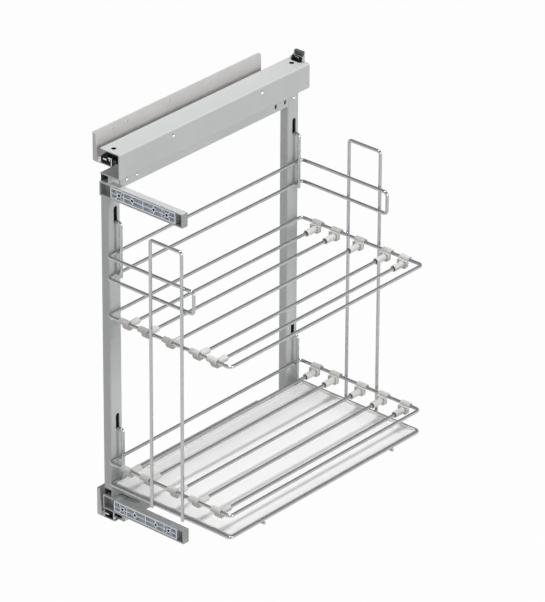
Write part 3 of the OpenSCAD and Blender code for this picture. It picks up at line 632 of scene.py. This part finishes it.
doorScrews = {"offsets": (44.3 * mm, 20 * mm), "radius": 2.25 * mm}
for name in ("upper_connector", "lower_connector"):
    low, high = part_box(name)
    middle = (low + high) / 2
    axes = [(middle[0] + side * offset, middle[2]) for side in (-1, 1)
            for offset in doorScrews["offsets"]]
    # Painted shade fills the door-screw holes
    coatRound(name, details["holeShade"], axes, (0, 2), doorScrews["radius"])

footSlot = {"low": (31.0 * mm, -128.3 * mm), "high": (67.2 * mm, -120.4 * mm)}
# Painted shade on the walls of the foot plate's slot
coatFaces("foot_plate", details["holeShade"], lambda centre: all(
    footSlot["low"][i] < centre[i] < footSlot["high"][i] for i in range(2)))

accessHoles = {"in": 15.5 * mm, "back": (11.6 * mm, 15.7 * mm), "radius": 3.75 * mm}
low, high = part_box("top_beam")
axes = [(low[0] + accessHoles["in"], low[1] + accessHoles["back"][0]),
        (low[0] + accessHoles["in"], high[1] - accessHoles["back"][1])]
# Painted shade on the walls of the beam's access holes
coatRound("top_beam", details["holeShade"], axes, (0, 1), accessHoles["radius"])
print("edges broken, insides and holes coated")


# Camera, floor, light

view = {"place": (4.39471, -4.77437, 3.11947), "turn": (62.1447, -0.2626, 41.3827),
        "lens": 309.113, "film": 36, "reach": 100}


def setCamera():
    camera = bpy.data.objects.new("photoCamera", bpy.data.cameras.new("photoCamera"))
    bpy.context.scene.collection.objects.link(camera)
    camera.location = view["place"]
    camera.rotation_euler = [math.radians(angle) for angle in view["turn"]]
    camera.data.lens = view["lens"]
    camera.data.sensor_width = view["film"]
    camera.data.clip_end = view["reach"]
    bpy.context.scene.camera = camera


# A lamp has its place, its size and its power, and the glow is what metal sees of the world
studio = {"floorDrop": 1.2, "floorSize": 30, "floorWhite": 0.96, "floorTone": (0.6, 0.6, 0.6, 1),
          "floorRough": 0.9, "ambient": 0.36, "aim": (0.13, 0.06, -0.3), "glowTop": 0.22,
          "glowFade": 0.24, "glowLean": 0.35, "glowDark": 0.4, "lamps": [
              ("frontLamp", (-3, -7, 3.5), 4, 20),
              ("sideLamp", (9, 0.4, 2.6), 3, 300),
              ("topLamp", (0.1, 0.1, 12), 3, 1010)]}


# True for rays that should meet a white surround
def whiteRays(tree, kinds):
    seen = tree.nodes.new("ShaderNodeLightPath")
    rays = seen.outputs[kinds[0]]
    for kind in kinds[1:]:
        either = tree.nodes.new("ShaderNodeMath")
        either.operation = "MAXIMUM"
        tree.links.new(rays, either.inputs[0])
        tree.links.new(seen.outputs[kind], either.inputs[1])
        rays = either.outputs[0]
    return rays


# The floor is white to the camera and in metal, and still takes some shadow
def floorPaper():
    material, tree, shader = newMaterial("floorPaper")[:3]
    shader.inputs["Base Color"].default_value = studio["floorTone"]
    shader.inputs["Roughness"].default_value = studio["floorRough"]
    share = tree.nodes.new("ShaderNodeMath")
    share.operation = "MULTIPLY"
    share.inputs[1].default_value = studio["floorWhite"]
    rays = whiteRays(tree, ("Is Camera Ray", "Is Glossy Ray", "Is Transmission Ray"))
    tree.links.new(rays, share.inputs[0])
    white = tree.nodes.new("ShaderNodeEmission")
    white.inputs["Strength"].default_value = 1
    mix = tree.nodes.new("ShaderNodeMixShader")
    tree.links.new(share.outputs[0], mix.inputs["Fac"])
    tree.links.new(shader.outputs[0], mix.inputs[1])
    tree.links.new(white.outputs[0], mix.inputs[2])
    tree.links.new(mix.outputs[0], tree.nodes["Material Output"].inputs["Surface"])
    return material


# Metal sees a white surround round the horizon that darkens overhead
def setSurround():
    world = bpy.data.worlds.new("studio")
    bpy.context.scene.world = world
    world.use_nodes = True
    tree = world.node_tree
    sky = tree.nodes["Background"]
    sky.inputs["Color"].default_value = (1, 1, 1, 1)
    toward = tree.nodes.new("ShaderNodeTexCoord")
    rise = tree.nodes.new("ShaderNodeVectorMath")
    rise.operation = "DOT_PRODUCT"
    rise.inputs[1].default_value = (-studio["glowLean"], 0, 1)
    tree.links.new(toward.outputs["Generated"], rise.inputs[0])
    glow = spread(tree, rise.outputs["Value"], 1, studio["glowDark"], studio["glowTop"],
                  studio["glowTop"] + studio["glowFade"])
    seen = whiteRays(tree, ("Is Glossy Ray", "Is Transmission Ray"))
    inMetal = tree.nodes.new("ShaderNodeMix")
    inMetal.inputs["A"].default_value = studio["ambient"]
    tree.links.new(seen, inMetal.inputs["Factor"])
    tree.links.new(glow, inMetal.inputs["B"])
    onView = tree.nodes.new("ShaderNodeMix")
    tree.links.new(whiteRays(tree, ("Is Camera Ray",)), onView.inputs["Factor"])
    tree.links.new(inMetal.outputs["Result"], onView.inputs["A"])
    onView.inputs["B"].default_value = 1
    tree.links.new(onView.outputs["Result"], sky.inputs["Strength"])


def setStage():
    setSurround()

    sheet = bmesh.new()
    bmesh.ops.create_grid(sheet, x_segments=4, y_segments=4, size=studio["floorSize"] / 2)
    bmesh.ops.translate(sheet, verts=sheet.verts,
                        vec=(0, 0, cadBox[0][2] - studio["floorDrop"]))
    mesh = bpy.data.meshes.new("studioFloor")
    sheet.to_mesh(mesh)
    sheet.free()
    floor = bpy.data.objects.new("studioFloor", mesh)
    bpy.context.scene.collection.objects.link(floor)
    mesh.materials.append(floorPaper())

    for name, spot, size, power in studio["lamps"]:
        light = bpy.data.lights.new(name, "AREA")
        light.size = size
        light.energy = power
        lamp = bpy.data.objects.new(name, light)
        bpy.context.scene.collection.objects.link(lamp)
        lamp.location = spot
        aim = Vector(studio["aim"]) - Vector(spot)
        lamp.rotation_euler = aim.to_track_quat("-Z", "Y").to_euler()


setCamera()
setStage()
bpy.context.scene.view_settings.view_transform = "Standard"
print("camera and stage set")
